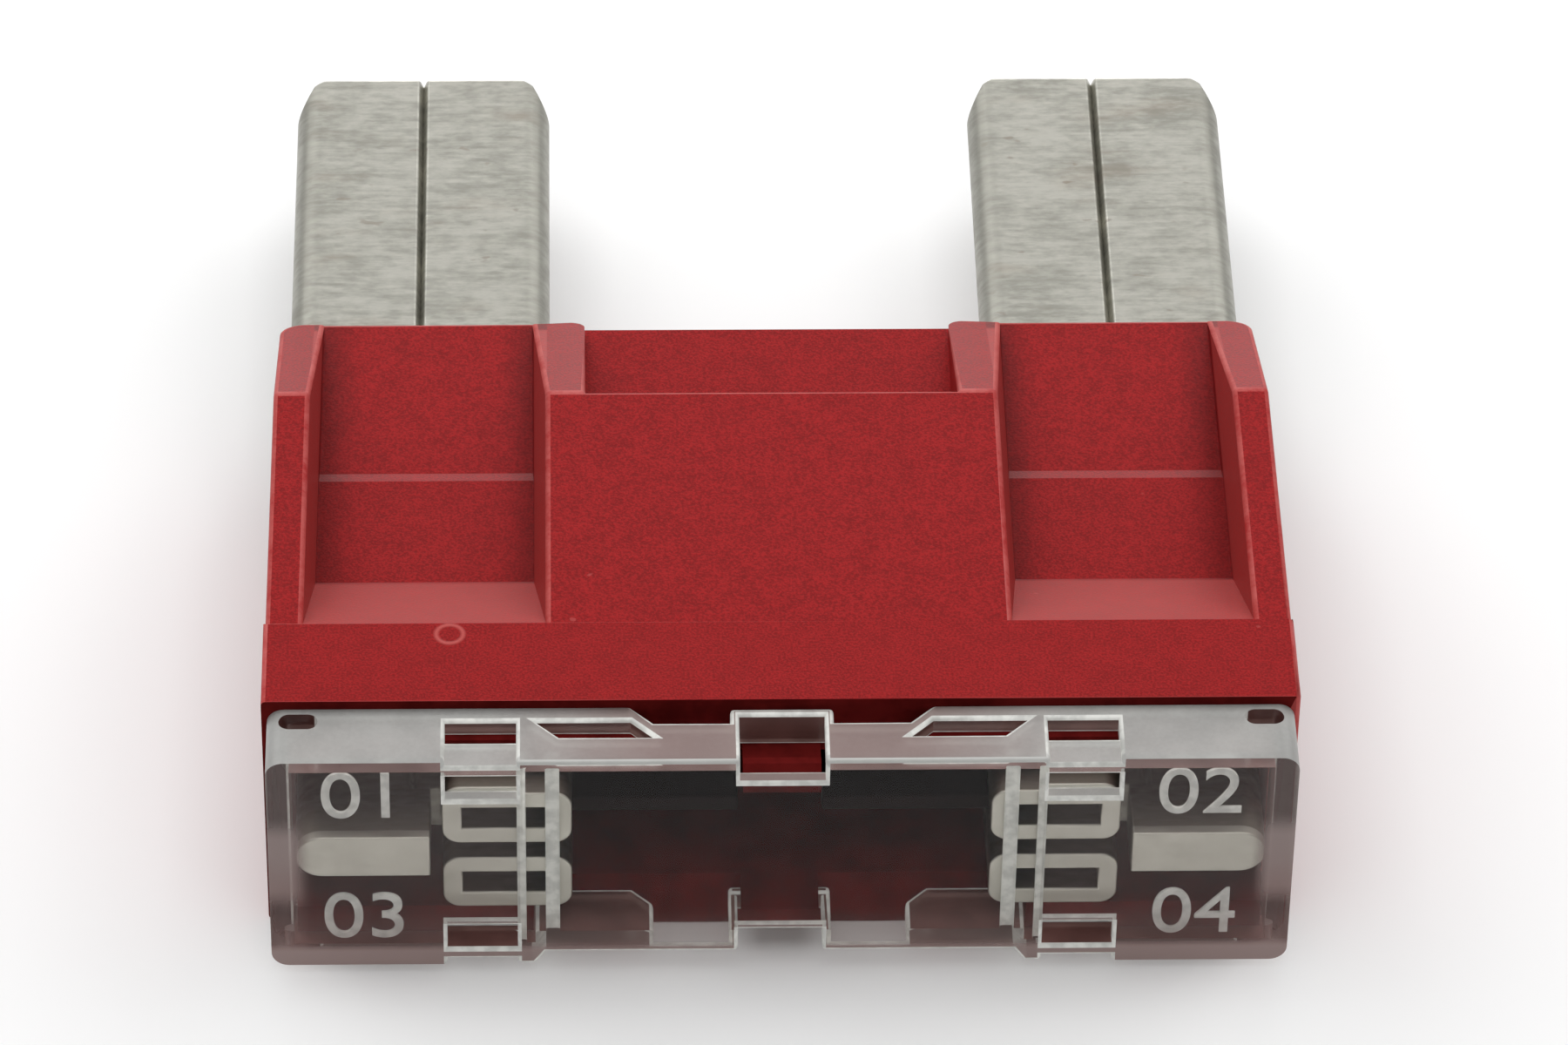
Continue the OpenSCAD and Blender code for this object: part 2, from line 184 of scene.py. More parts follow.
class FuseFinishes(bpy.types.PropertyGroup):
    """Colours of the finishes."""

    red: FloatVectorProperty(
        name="Red", default=(0.325, 0.0095, 0.0104), subtype="COLOR", min=0, max=1,
        description="Red of the moulding",
    )
    dark_red: FloatVectorProperty(
        name="Dark red", default=(0.185, 0.0052, 0.0056), subtype="COLOR", min=0, max=1,
        description="Darker red of its mottling",
    )
    # Its own colour where rubbed, on specks and on the ring; painted light on ramps, walls, lip and
    # rounds.
    pale_red: FloatVectorProperty(
        name="Pale red", default=(0.44, 0.075, 0.068), subtype="COLOR", min=0, max=1,
        description="Rubbed places and the ring on the rim",
    )
    # Painted shade laid along the foot of the pockets' walls.
    deep_red: FloatVectorProperty(
        name="Deep red", default=(0.04, 0.001, 0.001), subtype="COLOR", min=0, max=1,
        description="Red along the foot of the pockets' walls",
    )
    shaded_red: FloatVectorProperty(
        name="Shaded red", default=(0.125, 0.0095, 0.009), subtype="COLOR", min=0, max=1,
        description="Red inside the housing",
    )
    tin: FloatVectorProperty(
        name="Tin", default=(0.54, 0.53, 0.475), subtype="COLOR", min=0, max=1,
        description="Tin plate",
    )
    # Rubbed streaks, and also painted shade along the blades' rounded edges.
    dull_tin: FloatVectorProperty(
        name="Dull tin", default=(0.295, 0.29, 0.255), subtype="COLOR", min=0, max=1,
        description="Rubbed streaks",
    )
    # Cut ends, brightened with painted light from the window.
    cut_tin: FloatVectorProperty(
        name="Cut tin", default=(0.70, 0.69, 0.62), subtype="COLOR", min=0, max=1,
        description="Bright cut ends",
    )
    # Brown smudges, and also painted shade on the crimps under the cover.
    stain: FloatVectorProperty(
        name="Stain", default=(0.24, 0.20, 0.16), subtype="COLOR", min=0, max=1,
        description="Brown smudges",
    )
    dark_link: FloatVectorProperty(
        name="Dark link", default=(0.018, 0.008, 0.008), subtype="COLOR", min=0, max=1,
        description="Link in the shade of its chamber",
    )
    clear: FloatVectorProperty(
        name="Clear", default=(0.92, 0.91, 0.90), subtype="COLOR", min=0, max=1,
        description="Clear plastic",
    )
    # Frosted faces, and also the pale part of the painted haze on the window.
    frost: FloatVectorProperty(
        name="Frost", default=(0.50, 0.50, 0.48), subtype="COLOR", min=0, max=1,
        description="Frosted faces",
    )
    # Painted glow of light gathered in the cover's cut edges, ribs and digits.
    milk: FloatVectorProperty(
        name="Milk", default=(0.55, 0.55, 0.52), subtype="COLOR", min=0, max=1,
        description="Cut edges of the cover",
    )
    # Painted reflection of the red housing, on the cover's inside faces, underside and haze.
    tint: FloatVectorProperty(
        name="Tint", default=(0.22, 0.10, 0.088), subtype="COLOR", min=0, max=1,
        description="Inside faces of the cover",
    )
    floor: FloatVectorProperty(
        name="Floor", default=(0.93, 0.93, 0.93), subtype="COLOR", min=0, max=1,
        description="Pale floor",
    )


class FuseStage(bpy.types.PropertyGroup):
    """Camera and light."""

    azimuth: FloatProperty(
        name="Azimuth", default=math.radians(-1.956), subtype="ANGLE",
        description="Camera's turn round the part",
    )
    elevation: FloatProperty(
        name="Elevation", default=math.radians(41.892), subtype="ANGLE",
        description="Camera's height angle",
    )
    roll: FloatProperty(
        name="Roll", default=math.radians(1.02), subtype="ANGLE",
        description="Camera's roll",
    )
    lens: FloatProperty(
        name="Lens", default=191.6, unit="CAMERA",
        description="Focal length in millimetres on a 36 mm wide sensor",
    )
    distance: FloatProperty(
        name="Distance", default=0.24595, unit="LENGTH",
        description="From the camera to its target",
    )
    target: FloatVectorProperty(
        name="Target", default=(0.39 * MM, -2.754 * MM, 4.212 * MM), unit="LENGTH",
        description="Point in the middle of the picture",
    )
    world_light: FloatProperty(
        name="Room light", default=0.3,
        description="Brightness of the room",
    )
    back_light: FloatProperty(
        name="Back light", default=0.75, unit="POWER",
        description="Power of the low light behind, in watts",
    )
    top_light: FloatProperty(
        name="Top light", default=0.6, unit="POWER",
        description="Power of the soft light above, in watts",
    )
    side_light: FloatProperty(
        name="Side lights", default=0.55, unit="POWER",
        description="Power of each soft light behind at the side, in watts",
    )
    front_light: FloatProperty(
        name="Front light", default=0.1, unit="POWER",
        description="Power of the soft light in front, in watts",
    )


class Value:
    """A shader socket that carries a number: arithmetic on it adds Math nodes to its tree."""

    def __init__(self, socket):
        self.socket = socket

    def maths(self, operation, *values):
        tree = self.socket.id_data
        return add_node(tree, "ShaderNodeMath", {"operation": operation}, dict(enumerate(values)))

    def __add__(self, other):
        return self.maths("ADD", self, other)

    __radd__ = __add__

    def __mul__(self, other):
        return self.maths("MULTIPLY", self, other)

    __rmul__ = __mul__

    def __sub__(self, other):
        return self.maths("SUBTRACT", self, other)

    def __rsub__(self, other):
        return self.maths("SUBTRACT", other, self)

    def __abs__(self):
        return self.maths("ABSOLUTE", self)


def add_node(tree, kind, settings=None, inputs=None, output=0):
    """Adds one node to a tree. Its settings are set first, then its sockets get values or links."""
    node = tree.nodes.new(kind)
    for name, value in (settings or {}).items():
        setattr(node, name, value)
    for key, value in (inputs or {}).items():
        if isinstance(value, Value):
            tree.links.new(value.socket, node.inputs[key])
        else:
            node.inputs[key].default_value = value
    return Value(node.outputs[output])


def opaque(colour, share=1.0):
    """A colour property, dimmed to a share of itself, as the four numbers of a colour socket."""
    return (*(share * part for part in colour), 1.0)


class Finish:
    """One material: its tree, the pattern coordinates and a Principled shader to feed."""

    def __init__(self, name):
        self.material = bpy.data.materials.new(name)
        self.material.use_nodes = True
        self.tree = self.material.node_tree
        self.shader = self.tree.nodes["Principled BSDF"]
        self.place = self.node("ShaderNodeTexCoord", output="Object")

    def node(self, kind, settings=None, inputs=None, output=0):
        return add_node(self.tree, kind, settings, inputs, output)

    def parts(self):
        """The pattern coordinates one by one."""
        split = self.node("ShaderNodeSeparateXYZ", None, {0: self.place})
        return [Value(socket) for socket in split.socket.node.outputs]

    def stretched(self, scale):
        return self.node("ShaderNodeMapping", None, {"Vector": self.place, "Scale": scale})

    def noise(self, scale, detail=2.0, roughness=0.5, place=None):
        """Noise whose lumps are about one over scale metres wide."""
        inputs = {"Scale": scale, "Detail": detail, "Roughness": roughness}
        inputs["Vector"] = place or self.place
        return self.node("ShaderNodeTexNoise", {"noise_dimensions": "3D"}, inputs)

    def ramp(self, value, low, high):
        """A value taken smoothly from 0 at low to 1 at high."""
        inputs = {"Value": value, "From Min": low, "From Max": high}
        return self.node("ShaderNodeMapRange", {"interpolation_type": "SMOOTHSTEP"}, inputs)

    def mix(self, share, first, second):
        """Two colours mixed by a share, which takes the first to the second."""
        return self.node("ShaderNodeMix", {"data_type": "RGBA"}, {0: share, 6: first, 7: second}, 2)

    def overlay(self, share, **sockets):
        """A second shader laid over the first by a share, its sockets by name with _ for a space."""
        named = {name.replace("_", " "): value for name, value in sockets.items()}
        layer = self.node("ShaderNodeBsdfPrincipled", None, named)
        first = Value(self.shader.outputs[0])
        both = self.node("ShaderNodeMixShader", None, {0: share, 1: first, 2: layer})
        self.tree.links.new(both.socket, self.tree.nodes["Material Output"].inputs["Surface"])

    def bump(self, height, strength, distance):
        inputs = {"Strength": strength, "Distance": distance, "Height": height}
        return self.node("ShaderNodeBump", None, inputs)

    def feed(self, **sockets):
        """Values or links for the shader's sockets, by name with _ for a space."""
        for name, value in sockets.items():
            socket = self.shader.inputs[name.replace("_", " ")]
            if isinstance(value, Value):
                self.tree.links.new(value.socket, socket)
            else:
                socket.default_value = value
        return self.material


def moulded_red(colours):
    """Matt moulded red: fine spark-eroded grain, slow mottling, a few pale specks, a ring on the rim.

    Painted shade darkens the pockets' floors towards their walls. Painted light makes their ramps and
    walls and the rim's lip paler.
    """
    finish = Finish("moulded_red")
    sizes = bpy.context.scene.fuse_sizes
    grain = finish.noise(14000, 2.0, 0.6)
    mottle = finish.noise(1400, 4.0, 0.6)
    speck = finish.ramp(finish.noise(1800, 1.0), 0.80, 0.84)
    points = {0: finish.place, 1: RING_CENTRE}
    away = finish.node("ShaderNodeVectorMath", {"operation": "DISTANCE"}, points, "Value")
    ring = 1 - finish.ramp(abs(away - sizes.ring_radius), 0, sizes.ring_line)
    mottled = finish.ramp(0.8 * grain + 0.2 * mottle, 0.36, 0.64)
    body = finish.mix(mottled, opaque(colours.dark_red), opaque(colours.red))
    across, along, height = finish.parts()
    off_mid = abs(abs(across) - POCKET_MID)
    in_pocket = 1 - finish.ramp(off_mid, POCKET_HALF, POCKET_HALF + 0.05 * MM)
    # Painted shade: the pockets' floors darken towards their walls.
    near_wall = in_pocket * finish.ramp(off_mid, POCKET_HALF - 1.5 * MM, POCKET_HALF - 0.3 * MM)
    rise = abs(height - MID_HEIGHT)
    low = 1 - finish.ramp(rise, POCKET_FLOOR + 0.02 * MM, POCKET_FLOOR + 0.15 * MM)
    pocket_shaded = finish.mix(0.42 * near_wall * low, body, opaque(colours.deep_red))
    # Painted light: the pockets' ramps and walls, and the rim's lip at the sides, are made paler.
    past_rim = finish.ramp(along, RIM_END - 0.05 * MM, RIM_END + 0.05 * MM)
    off_walls = 1 - finish.ramp(off_mid, POCKET_HALF - 0.5 * MM, POCKET_HALF - 0.35 * MM)
    on_ramp = past_rim * off_walls * (1 - finish.ramp(along, RAMP_END - 0.3 * MM, RAMP_END))
    on_wall = past_rim * in_pocket * (1 - off_walls) * (1 - low)
    on_lip = 1 - finish.ramp(along, COVER_HIGH.y, COVER_HIGH.y + 0.03 * MM)
    on_lip = on_lip * finish.ramp(abs(across), 3 * MM, 6 * MM)
    # Specks and the ring are the moulding's own; the ramp, wall and lip shares are painted light.
    pale = 0.35 * on_ramp + 0.4 * on_wall + 0.6 * on_lip + 0.5 * speck + ring
    colour = finish.mix(pale, pocket_shaded, opaque(colours.pale_red))
    return finish.feed(
        Base_Color=colour,
        Roughness=0.36 + 0.14 * grain,
        Normal=finish.bump(grain + 2 * ring, 0.4, 0.02 * MM),
        IOR=RED_IOR,
        Specular_IOR_Level=RED_GLOSS,
    )


def rubbed_and_lit_red(colours):
    """The same red on the rounded edges, rubbed pale by handling and painted pale as a highlight."""
    finish = Finish("rubbed_and_lit_red")
    grain = finish.noise(7000, 3.0, 0.6)
    wear = finish.noise(900, 3.0, 0.6)
    # Partly wear, partly a painted highlight on the rounds.
    share = finish.ramp(0.4 * grain + 0.6 * wear, 0.25, 0.65)
    colour = finish.mix(share, opaque(colours.red), opaque(colours.pale_red))
    return finish.feed(
        Base_Color=colour,
        Roughness=0.38 + 0.14 * grain,
        Normal=finish.bump(grain, 0.3, 0.02 * MM),
        IOR=RED_IOR,
        Specular_IOR_Level=RED_GLOSS,
    )


def shaded_red(colours):
    """The same red in the bay and the chamber, where it is smooth and little light comes back."""
    finish = Finish("shaded_red")
    cloud = finish.noise(900, 3.0, 0.6)
    dim = opaque(colours.shaded_red, 0.6)
    colour = finish.mix(finish.ramp(cloud, 0.3, 0.7), dim, opaque(colours.shaded_red))
    return finish.feed(Base_Color=colour, Roughness=0.6 + 0.2 * cloud, Specular_IOR_Level=0.0)


def rubbed_tin(colours):
    """Tin-plated strip, rubbed crosswise, with dull patches, brown smudges and dark pits.

    Painted shade makes the blades duller along their rounded edges and browner on the crimps under the
    cover. The cut ends behind the window are brightened with painted light from the window.
    """
    finish = Finish("rubbed_tin")
    streak = finish.noise(1000, 4.0, 0.6, finish.stretched((0.5, 5.0, 3.0)))
    patch = finish.noise(600, 4.0, 0.6, finish.stretched((0.7, 1.5, 1.0)))
    fine = finish.noise(2600, 3.0, 0.6, finish.stretched((0.7, 1.6, 1.0)))
    blot = finish.noise(420, 3.0, 0.55, finish.stretched((0.6, 1.6, 1.0)))
    smudge = finish.ramp(blot, 0.54, 0.74)
    dot = finish.noise(1500, 2.0, 0.5, finish.stretched((0.7, 1.4, 1.0)))
    pit = finish.ramp(dot, 0.70, 0.76)
    across, along, _ = finish.parts()
    # Painted shade along the blades' rounded edges.
    edge = finish.ramp(abs(abs(across) - BLADE_MID), BLADE_HALF - 0.9 * MM, BLADE_HALF - 0.3 * MM)
    edge = edge * finish.ramp(along, HOUSING_HIGH.y - MM, HOUSING_HIGH.y)
    # Painted shade, in brown, on the crimps under the cover.
    under_cover = 1 - finish.ramp(along, COVER_HIGH.y - 0.8 * MM, COVER_HIGH.y)
    # Painted light: the cut ends behind the window are brightened.
    cut = 1 - finish.ramp(along, COVER_LOW.y + 0.83 * MM, COVER_LOW.y + 0.9 * MM)
    dull = finish.ramp(0.25 * streak + 0.45 * patch + 0.3 * fine, 0.37, 0.63)
    rubbed = finish.mix(dull, opaque(colours.tin), opaque(colours.dull_tin))
    smudged = finish.mix(0.5 * smudge + 0.5 * pit, rubbed, opaque(colours.stain))
    edge_shaded = finish.mix(0.7 * edge, smudged, opaque(colours.dull_tin))
    shaded_under_cover = finish.mix(0.6 * under_cover, edge_shaded, opaque(colours.stain))
    colour = finish.mix(0.85 * cut, shaded_under_cover, opaque(colours.cut_tin))
    return finish.feed(
        Base_Color=colour,
        Metallic=1.0,
        Roughness=0.38 + 0.12 * dull + 0.1 * smudge,
        Normal=finish.bump(0.5 * streak + 0.5 * fine, 0.2, 0.01 * MM),
    )


def dark_strip(colours):
    """Rolled strip of the link, nearly black in the shade of its chamber."""
    finish = Finish("dark_strip")
    rolled = finish.noise(1500, 3.0, 0.6, finish.stretched((1.0, 0.2, 1.0)))
    colour = finish.mix(rolled, opaque(colours.dark_link, 0.6), opaque(colours.dark_link))
    return finish.feed(
        Base_Color=colour,
        Metallic=0.3,
        Roughness=0.5 + 0.2 * rolled,
        Specular_IOR_Level=0.1,
    )


def polished_clear(colours):
    """Polished clear moulding with faint flow waves.

    A painted haze lies on its outer face, for light gathered in the walls: the painted red reflection,
    paler at the foot and higher up. It lies before the crimps, towards and along its foot, and at its
    two ends, most of all level with the bright bars behind it.
    """
    finish = Finish("polished_clear")
    waves = finish.noise(500, 2.0)
    cloud = finish.noise(900, 3.0, 0.6)
    across, along, height = finish.parts()
    outer = 1 - finish.ramp(along, COVER_LOW.y + 0.1 * MM, COVER_LOW.y + 0.2 * MM)
    clear_of_sides = 1 - finish.ramp(abs(across), COVER_HIGH.x - 1.2 * MM, COVER_HIGH.x - 0.6 * MM)
    clear_of_foot = finish.ramp(height, COVER_LOW.z + 0.5 * MM, COVER_LOW.z + 0.9 * MM)
    barred = 1 - finish.ramp(abs(height - MID_HEIGHT), 0.9 * MM, 1.9 * MM)
    ends = (1 - clear_of_sides) * clear_of_foot * (0.2 + 0.5 * barred)
    foot = 1 - clear_of_foot
    beside = finish.ramp(abs(across), 6.5 * MM, 8 * MM)
    low = 1 - finish.ramp(height, COVER_LOW.z + 1.2 * MM, COVER_LOW.z + 2.4 * MM)
    upper = finish.ramp(height + MM * cloud, MID_HEIGHT - 3 * MM, MID_HEIGHT + 2 * MM)
    # Painted haze: the painted red reflection, paler at the foot and higher up.
    painted_haze = finish.mix(0.05 + 0.2 * foot + 0.3 * upper, opaque(colours.tint), opaque(colours.frost))
    share = outer * (ends + 0.7 * foot + 0.1 * beside + 0.18 * low)
    finish.overlay(share, Base_Color=painted_haze, Roughness=0.4, IOR=CLEAR_IOR)
    return finish.feed(
        Base_Color=opaque(colours.clear),
        Transmission_Weight=1.0,
        IOR=CLEAR_IOR,
        Specular_Tint=(0.01, 0.01, 0.01, 1.0),
        Roughness=0.02 + 0.05 * waves,
        Normal=finish.bump(waves, 0.05, 0.05 * MM),
    )


def frosted_clear(colours):
    """The same moulding where its mould was blasted: pale, fine-grained and only partly clear."""
    finish = Finish("frosted_clear")
    grain = finish.noise(8000, 2.0)
    cloud = finish.noise(600, 3.0)
    across, _, height = finish.parts()
    # Painted red reflection below the mid-plane and in the middle of the wall.
    under = 1 - finish.ramp(height, MID_HEIGHT - 2 * MM, MID_HEIGHT)
    middle = 1 - finish.ramp(abs(across), 3 * MM, 9 * MM)
    blasted = finish.ramp(0.3 * grain + 0.7 * cloud, 0.3, 0.7)
    pale = finish.mix(blasted, opaque(colours.frost, 0.8), opaque(colours.frost))
    reflected_red_middle = finish.mix(0.7 * middle, pale, opaque(colours.tint))
    colour = finish.mix(0.5 * under, reflected_red_middle, opaque(colours.tint))
    return finish.feed(
        Base_Color=colour,
        Transmission_Weight=0.35,
        IOR=CLEAR_IOR,
        Roughness=0.35 + 0.2 * grain,
        Normal=finish.bump(grain, 0.2, 0.01 * MM),
    )


def milky_glowing_clear(colours):
    """The same moulding on its cut edges and ribs, painted to glow with light gathered from all over.

    Its long ridge doesn't glow, and is nearly as dull as the frosted faces beside it.
    """
    finish = Finish("milky_glowing_clear")
    cloud = finish.noise(2500, 3.0)
    milk = finish.mix(finish.ramp(cloud, 0.35, 0.65), opaque(colours.milk, 0.75), opaque(colours.milk))
    _, along, height = finish.parts()
    corner = COVER_HIGH.z - COVER_LOW.y
    ridge = finish.ramp(height - along, corner - 0.3 * MM, corner - 0.2 * MM)
    colour = finish.mix(0.8 * ridge, milk, opaque(colours.frost))
    return finish.feed(
        Base_Color=colour,
        Roughness=0.3 + 0.2 * cloud,
        IOR=CLEAR_IOR,
        # The emission is a painted glow; the ridge has none.
        Emission_Color=finish.mix(ridge, milk, BLACK),
        Emission_Strength=0.3,
    )


def red_reflecting_clear(colours):
    """The same moulding on its inside faces, coloured with a painted reflection of the red around
    them.
    """
    finish = Finish("red_reflecting_clear")
    cloud = finish.noise(800, 3.0)
    dim = opaque(colours.tint, 0.7)
    colour = finish.mix(finish.ramp(cloud, 0.3, 0.7), dim, opaque(colours.tint))
    return finish.feed(
        Base_Color=colour,
        Transmission_Weight=0.4,
        IOR=CLEAR_IOR,
        Roughness=0.25 + 0.2 * cloud,
        Specular_IOR_Level=0.2,
    )


def floor_paper(colours):
    """Pale paper with a barely visible tooth."""
    finish = Finish("floor_paper")
    tooth = finish.noise(900, 2.0)
    colour = finish.mix(0.03 * tooth, opaque(colours.floor), (0.8, 0.8, 0.8, 1.0))
    return finish.feed(Base_Color=colour, Roughness=0.9, Specular_IOR_Level=0.1)


def material(make):
    """A finish by its maker's name, made once."""
    found = bpy.data.materials.get(make.__name__)
    return found or make(bpy.context.scene.fuse_finishes)


def show(name, mesh, slot, *makers):
    """Puts a mesh into the scene as a piece of the part, with its finishes. The slot is not used."""
    piece = bpy.data.objects.new(name, mesh)
    bpy.context.scene.collection.objects.link(piece)
    for make in makers:
        mesh.materials.append(material(make))
    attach(piece, "root")
    return piece


def room_beside(edge, face):
    """How far a face reaches from one of its edges."""
    start = edge.verts[0].co
    along = (edge.verts[1].co - start).normalized()
    return max((v.co - start).cross(along).length for v in face.verts)


def merged_copy(node):
    """A bmesh copy of a CAD node: its loose triangles merged, and flat faces joined."""
    shape = bmesh.new()
    shape.from_mesh(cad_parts[node].data)
    bmesh.ops.remove_doubles(shape, verts=shape.verts, dist=MERGE_DISTANCE)
    bmesh.ops.dissolve_limit(shape, angle_limit=FLAT_ANGLE, verts=shape.verts, edges=shape.edges)
    return shape


def weigh_edges(shape, radius, shaded, shortest, lead):
    """Gives each outer edge its share of the radius, less where a face beside it is narrow.

    An edge beside a shaded face gets none. Neither does one up to shortest long, which is part of a
    small round, nor one that leads into such a round and is shorter than lead.
    """
    weights = shape.edges.layers.float.new("bevel_weight_edge")
    for edge in shape.edges:
        hidden = any(face.material_index == shaded for face in edge.link_faces)
        near = min(other.calc_length() for vert in edge.verts for other in vert.link_edges)
        small = near <= shortest and edge.calc_length() < lead
        if edge.is_convex and edge.calc_face_angle() > ROUND_ANGLE and not small and not hidden:
            room = min(room_beside(edge, face) for face in edge.link_faces)
            edge[weights] = min(1, ROOM_SHARE * room / radius)


def round_edges(piece, radius, rubbed):
    """Rounds a piece's weighed edges, gives them the finish numbered rubbed, keeps flat faces flat."""
    bevel = piece.modifiers.new("edges", "BEVEL")
    bevel.limit_method = "WEIGHT"
    bevel.width = radius
    bevel.segments = ROUND_STEPS
    bevel.use_clamp_overlap = False
    bevel.loop_slide = False
    bevel.material = rubbed
    normals = piece.modifiers.new("flat_faces", "WEIGHTED_NORMAL")
    normals.keep_sharp = True
    normals.weight = 100


def finished_node(
    node, name, slot, radius, makers, finish=None, rubbed=-1, shaded=-1, shortest=0, lead=SHORT_LEAD
):
    """A piece that stands for a CAD node: its merged copy with rounded edges and smooth shading.

    The function finish gives each face its number among the makers. Rounded edges take the number
    rubbed, whose finish paints light on the rounds: a pale highlight beside wear on the housing, a
    glow on the cover. Edges beside faces with the number shaded stay sharp, and so do small rounds, as
    shortest and lead say.
    """
    shape = merged_copy(node)
    for face in shape.faces:
        face.smooth = True
        face.material_index = finish(face) if finish else 0
    for edge in shape.edges:
        edge.smooth = edge.calc_face_angle(0) < SHARP_ANGLE
    weigh_edges(shape, radius, shaded, shortest, lead)
    mesh = bpy.data.meshes.new(name)
    shape.to_mesh(mesh)
    shape.free()
    piece = show(name, mesh, slot, *makers)
    round_edges(piece, radius, rubbed)
    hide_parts(node)
    return piece


class FUSE_OT_housing(bpy.types.Operator):
    """Red moulding with softly rounded edges"""

    bl_idname = "fuse.housing"
    bl_label = "Housing"

    def execute(self, context):
        sizes = context.scene.fuse_sizes

        def finish(face):
            """Shaded inside the bay, in the arc chamber and under the cover."""
            place = face.calc_center_median()
            off_middle = abs(place.x)
            depth = place.y - COVER_HIGH.y
            level = abs(place.z - MID_HEIGHT) < sizes.chamber_height / 2
            inside = level and off_middle < HOUSING_HIGH.x - MM
            in_chamber = off_middle < sizes.chamber_width / 2 and depth < sizes.chamber_depth
            in_bay = depth < sizes.bay_depth
            covered = depth < -MERGE_DISTANCE
            return SHADED if covered or (inside and (in_bay or in_chamber)) else PLAIN

        makers = [moulded_red, rubbed_and_lit_red, shaded_red]
        finished_node(
            "housing", "moulding", "red_plastic", sizes.housing_edge, makers, finish,
            rubbed=RUBBED_AND_LIT, shaded=SHADED, shortest=SHORT_EDGE,
        )
        return {"FINISHED"}


class FUSE_OT_terminals(bpy.types.Operator):
    """Both folded strips"""

    bl_idname = "fuse.terminals"
    bl_label = "Terminals"

    def execute(self, context):
        radius = context.scene.fuse_sizes.metal_edge
        for side in ("left", "right"):
            finished_node(side + "_terminal", side + "_blade", "tin_plate", radius, [rubbed_tin])
        return {"FINISHED"}


class FUSE_OT_link(bpy.types.Operator):
    """Fusible strip inside the arc chamber"""

    bl_idname = "fuse.link"
    bl_label = "Link"

    def execute(self, context):
        radius = context.scene.fuse_sizes.metal_edge
        finished_node("fuse_link", "link", "link_metal", radius, [dark_strip])
        return {"FINISHED"}


class FUSE_OT_cover(bpy.types.Operator):
    """Clear cover: polished window, frosted outside, painted reflection inside, painted glow on cut
    edges
    """

    bl_idname = "fuse.cover"
    bl_label = "Cover"

    def execute(self, context):
        sizes = context.scene.fuse_sizes
        window_end = COVER_LOW.y + sizes.window_depth
        rib_end = window_end + sizes.window_depth / 2
        side_wall = 0.95 * COVER_HIGH.x
        middle = (COVER_LOW + COVER_HIGH) / 2

        def finish(face):
            """Polished window, frosted outside, painted glow on ribs and openings, else painted
            reflection.
            """
            place = face.calc_center_median()
            facing = face.normal
            if abs(facing.y) > MAINLY:
                if place.y < window_end:
                    return POLISHED
                if place.y > COVER_HIGH.y - MERGE_DISTANCE:
                    return FROSTED
                return MILKY_GLOWING if facing.y > 0 and place.y < rib_end else RED_REFLECTING
            if abs(facing.x) > MAINLY and abs(place.x) < side_wall:
                return MILKY_GLOWING
            return FROSTED if (place - middle).dot(facing) > 0 else RED_REFLECTING

        makers = [polished_clear, frosted_clear, milky_glowing_clear, red_reflecting_clear]
        cover = finished_node(
            "cover", "clear_cover", "clear_plastic", sizes.cover_edge, makers, finish,
            rubbed=MILKY_GLOWING, shortest=SHORT_EDGE, lead=math.inf,
        )
        # Light reaches the inside through the clear walls.
        cover.visible_shadow = False
        return {"FINISHED"}


class FUSE_OT_digits(bpy.types.Operator):
    """Plain moulded numbers on the inside of the window, one in each corner"""

    bl_idname = "fuse.digits"
    bl_label = "Digits"

    def execute(self, context):
        sizes = context.scene.fuse_sizes
        depth = COVER_LOW.y + sizes.window_thickness + sizes.digit_relief / 2
        stand = Matrix.Rotation(math.radians(90), 4, "X")
        corners = [("01", -1, 1), ("02", 1, 1), ("03", -1, -1), ("04", 1, -1)]
        for digits, side, level in corners:
            text = bpy.data.curves.new("digits_" + digits, "FONT")
            text.body = digits
            text.align_x = "CENTER"
            text.align_y = "CENTER"
            text.size = sizes.digit_height / DIGIT_SHARE
            text.extrude = sizes.digit_relief / 2
            text.bevel_depth = DIGIT_EDGE
            text.offset = -DIGIT_EDGE
            holder = bpy.data.objects.new("digits_" + digits, text)
            context.scene.collection.objects.link(holder)
            context.view_layer.update()
            mesh = bpy.data.meshes.new_from_object(holder)
            bpy.data.objects.remove(holder)
            bpy.data.curves.remove(text)
            place = (side * sizes.digit_across, depth, MID_HEIGHT + level * sizes.digit_rise)
            mesh.transform(Matrix.Translation(place) @ stand)
            # The digits glow with the same painted light as the cover's milky edges.
            show("digits_" + digits, mesh, "clear_plastic", milky_glowing_clear)
        return {"FINISHED"}


def mesh_of(name, points, faces):
    """A smooth mesh from arrays of points and faces."""
    mesh = bpy.data.meshes.new(name)
    mesh.from_pydata(points.tolist(), [], faces.tolist())
    mesh.polygons.foreach_set("use_smooth", np.ones(len(faces), bool))
    mesh.update()
    return mesh


def soft_light(name, place, size, power):
    """A square soft light at a place, turned to the middle of the part."""
    light = bpy.data.lights.new(name, "AREA")
    light.shape = "SQUARE"
    light.size = size
    light.energy = power
    lamp = bpy.data.objects.new(name, light)
    lamp.visible_camera = False
    lamp.location = place
    towards = Vector((0, 0, MID_HEIGHT)) - Vector(place)
    lamp.rotation_euler = towards.to_track_quat("-Z", "Y").to_euler()
    bpy.context.scene.collection.objects.link(lamp)


def camera_axes(turn, rise, roll):
    """A camera's directions to the right, up and back, from its turn, height angle and roll."""
    back = Vector((math.sin(turn) * math.cos(rise), -math.cos(turn) * math.cos(rise), math.sin(rise)))
    level = Vector((math.cos(turn), math.sin(turn), 0))
    right = math.cos(roll) * level + math.sin(roll) * back.cross(level)
    return right, back.cross(right), back


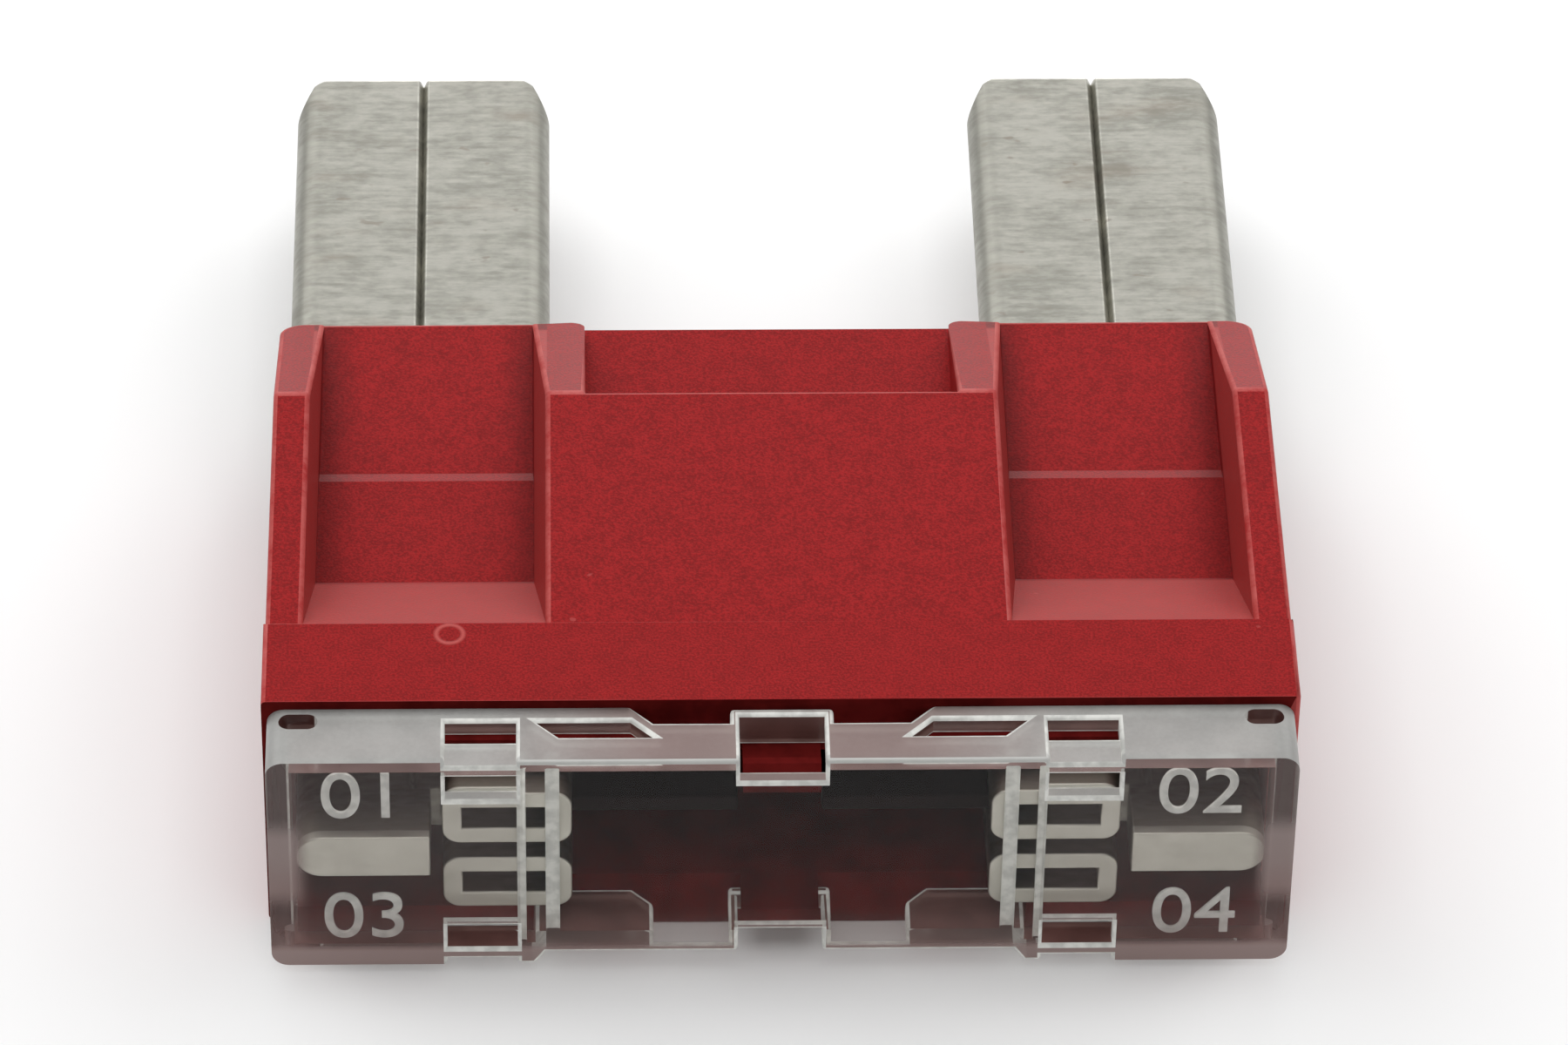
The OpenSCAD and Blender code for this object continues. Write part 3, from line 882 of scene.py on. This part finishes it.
class FUSE_OT_stage(bpy.types.Operator):
    """Pale floor, soft light and the camera"""

    bl_idname = "fuse.stage"
    bl_label = "Stage"

    def execute(self, context):
        scene = context.scene
        stage = scene.fuse_stage
        corners = np.array([(-1, -1, 0), (1, -1, 0), (1, 1, 0), (-1, 1, 0)])
        points = FLOOR_HALF * corners - (0, 0, FLOOR_GAP)
        paper = mesh_of("floor", points, np.array([[0, 1, 2, 3]]))
        floor = bpy.data.objects.new("floor", paper)
        scene.collection.objects.link(floor)
        paper.materials.append(material(floor_paper))

        soft_light("top", (-0.02, 0.0, 0.36), 0.3, stage.top_light)
        soft_light("left", (-0.25, 0.18, 0.26), 0.3, stage.side_light)
        soft_light("right", (0.25, 0.18, 0.26), 0.3, stage.side_light)
        soft_light("front", (0.08, -0.35, 0.22), 0.25, stage.front_light)
        soft_light("back", (0.0, 0.45, 0.09), 0.3, stage.back_light)

        world = bpy.data.worlds.new("room")
        world.use_nodes = True
        sky = world.node_tree.nodes["Background"]
        sky.inputs["Color"].default_value = (1, 1, 1, 1)
        sky.inputs["Strength"].default_value = stage.world_light
        scene.world = world

        axes = camera_axes(stage.azimuth, stage.elevation, stage.roll)
        place = Vector(stage.target) + stage.distance * axes[2]
        camera = bpy.data.cameras.new("camera")
        camera.lens = stage.lens
        camera.sensor_width = SENSOR_WIDTH
        camera.clip_start = 0.01
        camera.clip_end = 10
        holder = bpy.data.objects.new("camera", camera)
        holder.matrix_world = Matrix.Translation(place) @ Matrix(axes).transposed().to_4x4()
        scene.collection.objects.link(holder)
        scene.camera = holder

        scene.view_settings.view_transform = "Standard"
        scene.view_settings.look = "None"
        scene.cycles.use_denoising = True
        return {"FINISHED"}


OPERATORS = (
    FUSE_OT_housing,
    FUSE_OT_terminals,
    FUSE_OT_link,
    FUSE_OT_cover,
    FUSE_OT_digits,
    FUSE_OT_stage,
)
GROUPS = {"fuse_sizes": FuseSizes, "fuse_finishes": FuseFinishes, "fuse_stage": FuseStage}


class FUSE_PT_parts(bpy.types.Panel):
    """Lists the pieces of the fuse, the stage and their settings"""

    bl_idname = "FUSE_PT_parts"
    bl_label = "Blade fuse"
    bl_space_type = "VIEW_3D"
    bl_region_type = "UI"
    bl_category = "Blade fuse"

    def draw(self, context):
        for operator in OPERATORS:
            self.layout.operator(operator.bl_idname)
        for group in GROUPS:
            settings = getattr(context.scene, group)
            box = self.layout.box()
            for name in settings.bl_rna.properties.keys():
                if name not in ("rna_type", "name"):
                    box.prop(settings, name)


CLASSES = (*GROUPS.values(), *OPERATORS, FUSE_PT_parts)


def register():
    for each in CLASSES:
        bpy.utils.register_class(each)
    for name, group in GROUPS.items():
        setattr(bpy.types.Scene, name, PointerProperty(type=group))


def unregister():
    for name in GROUPS:
        delattr(bpy.types.Scene, name)
    for each in reversed(CLASSES):
        bpy.utils.unregister_class(each)


def main():
    register()
    bpy.ops.fuse.housing()
    bpy.ops.fuse.terminals()
    bpy.ops.fuse.link()
    bpy.ops.fuse.cover()
    bpy.ops.fuse.digits()
    bpy.ops.fuse.stage()


if __name__ == "__main__":
    main()
